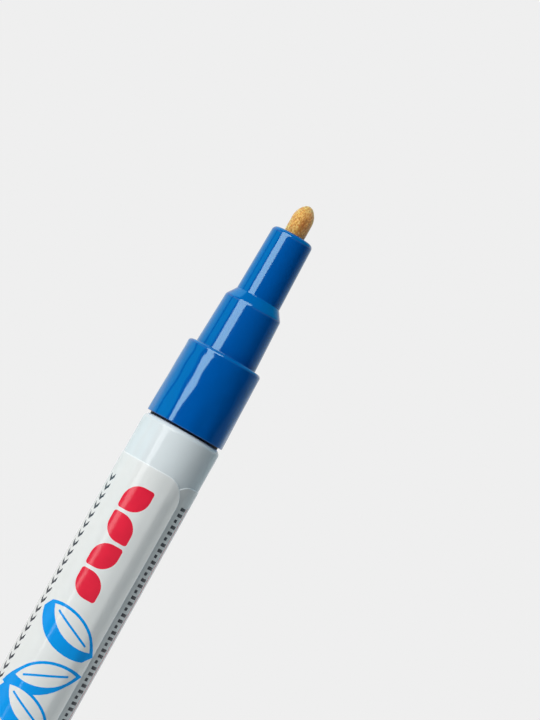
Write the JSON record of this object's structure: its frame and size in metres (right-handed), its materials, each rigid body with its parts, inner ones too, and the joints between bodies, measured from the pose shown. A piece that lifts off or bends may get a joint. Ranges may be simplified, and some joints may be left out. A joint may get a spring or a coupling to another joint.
{
  "type": "paint marker",
  "caption": "Valve-fed paint marker with a stepped moulded front, fibre bullet nib, lacquered metal barrel with a wrap-round label, sprung valve and loose mixing ball.",
  "frame": {"origin": "centre of the tail face, on the surface the marker stands on", "axes": "+Z along the marker's axis towards the nib; -Y is the side that the picture shows, with the label's seam to the right of it"},
  "size_m": [0.015, 0.015, 0.136],
  "materials": {
    "white_lacquer": "aluminium can with gloss white lacquer",
    "label_film": "satin printed film",
    "blue_plastic": "gloss moulded polypropylene",
    "natural_plastic": "natural moulded polyethylene",
    "black_rubber": "matt moulded rubber",
    "spring_steel": "bright stainless steel",
    "nib_fibre": "bonded polyester fibre"
  },
  "bodies": {
    "marker": {"barrel": "white_lacquer", "barrel_label": "label_film", "neck_gasket": "black_rubber", "front_holder": "blue_plastic", "valve_housing": "natural_plastic", "flange_gasket": "black_rubber", "valve_seat_ring": "black_rubber", "valve_spring": "spring_steel", "spring_retainer": "natural_plastic"},
    "nib": {"nib": "nib_fibre"},
    "valve": {"valve_rod": "natural_plastic"},
    "ball": {"mixing_ball": "spring_steel"}
  },
  "joints": [
    {"name": "nib_press", "type": "slide", "parent": "marker", "child": "nib", "axis": [0, 0, -1], "range_m": [0, 0.0015], "stiffness_N_per_m": 400, "springref_m": -0.002},
    {"name": "valve_open", "type": "slide", "parent": "marker", "child": "valve", "axis": [0, 0, -1], "range_m": [0, 0.0015], "stiffness_N_per_m": 400, "springref_m": -0.002, "deforming": ["valve_spring"]},
    {"name": "ball_rattle", "type": "slide", "parent": "marker", "child": "ball", "axis": [0, 0, 1], "range_m": [0, 0.079]}
  ],
  "couplings": [
    {"joint": "valve_open", "follows": "nib_press", "ratio": 1}
  ]
}
